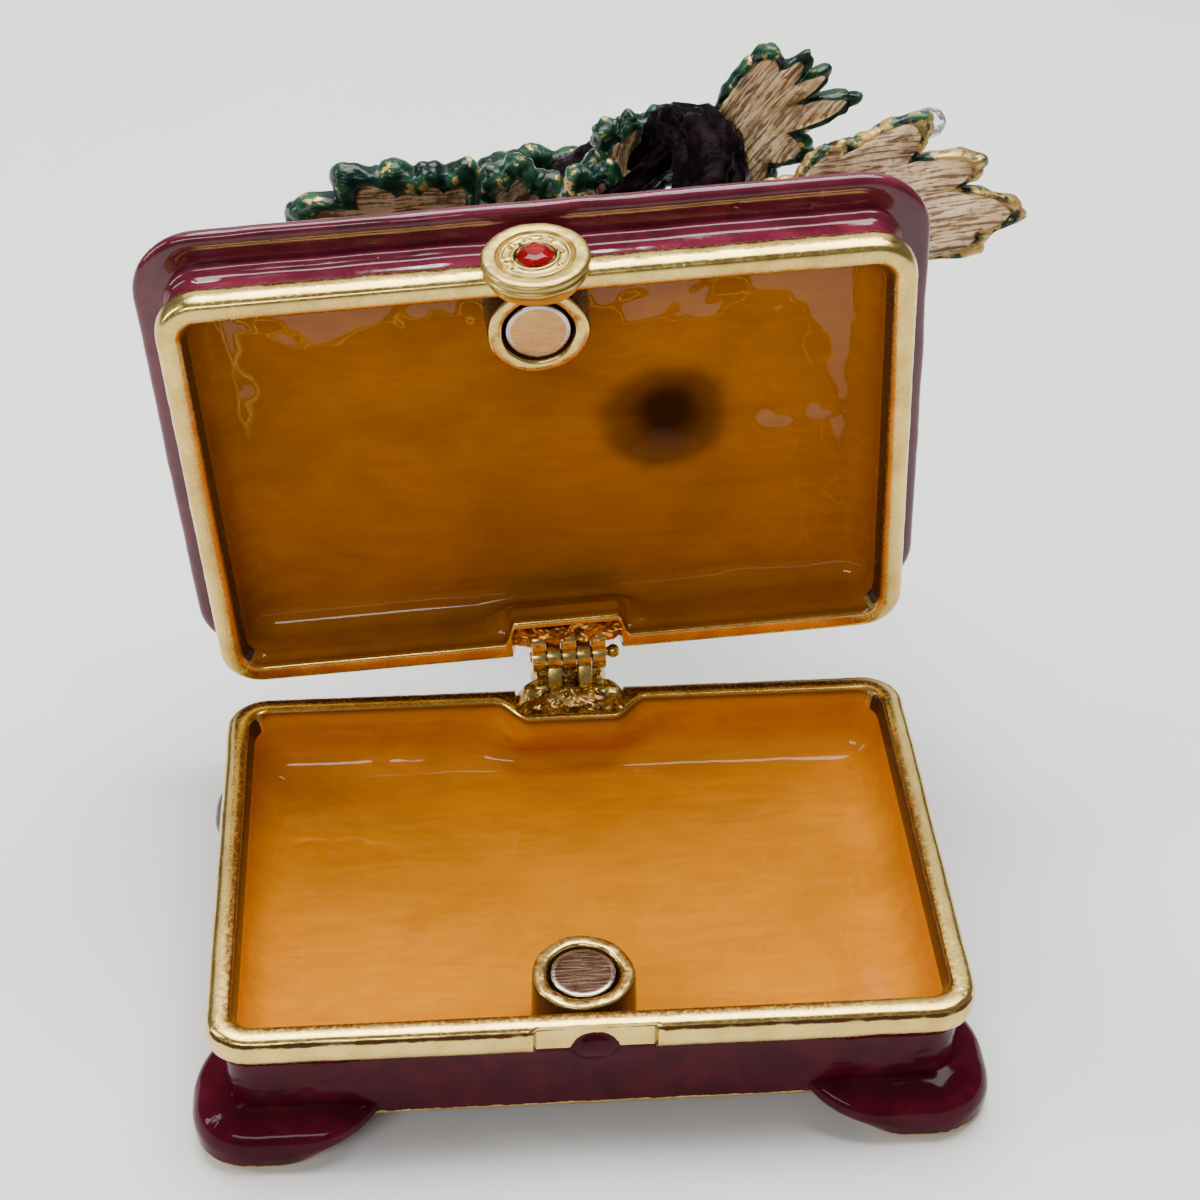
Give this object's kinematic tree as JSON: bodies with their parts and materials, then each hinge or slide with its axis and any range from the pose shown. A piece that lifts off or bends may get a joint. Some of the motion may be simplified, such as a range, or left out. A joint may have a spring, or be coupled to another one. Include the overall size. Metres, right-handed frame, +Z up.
{
  "type": "trinket box",
  "caption": "Small footed metal trinket box with a hinged lid that carries a miniature bonsai tree, held shut by disc magnets.",
  "frame": {"origin": "middle of the tray's flat underside, between the feet", "axes": "+X to the box's right seen from the front, +Y to the hinge at the back, +Z up"},
  "size_m": [0.0775, 0.1, 0.0619],
  "materials": {
    "tray": "burgundy enamel outside, bare gold rims and amber lacquer inside",
    "lid": "burgundy enamel outside, bare gold rims and amber lacquer inside",
    "tray_magnet": "nickel plate",
    "lid_magnet": "nickel plate",
    "medallion": "polished gold plate",
    "medallion_crystal": "faceted red crystal",
    "hinge_leaf_tray": "gold plate, rough solder",
    "hinge_leaf_lid": "gold plate, rough solder",
    "hinge_pin": "polished gold plate",
    "bonsai_tree": "gold casting with green enamel on the pads and dark brown on the trunk",
    "tree_crystal": "clear striated crystal"
  },
  "bodies": {
    "tray_body": {"tray": "tray", "tray_magnet": "tray_magnet", "hinge_leaf_tray": "hinge_leaf_tray", "hinge_pin": "hinge_pin"},
    "lid_body": {"lid": "lid", "lid_magnet": "lid_magnet", "medallion": "medallion", "medallion_crystal": "medallion_crystal", "hinge_leaf_lid": "hinge_leaf_lid", "bonsai_tree": "bonsai_tree", "tree_crystal": "tree_crystal"}
  },
  "joints": [
    {"name": "lid_hinge", "type": "hinge", "parent": "tray_body", "child": "lid_body", "pos_m": [0, 0.02255, 0.0104], "axis": [0.999, 0.0389, 0.0197], "range_deg": [0, 83.6]}
  ]
}
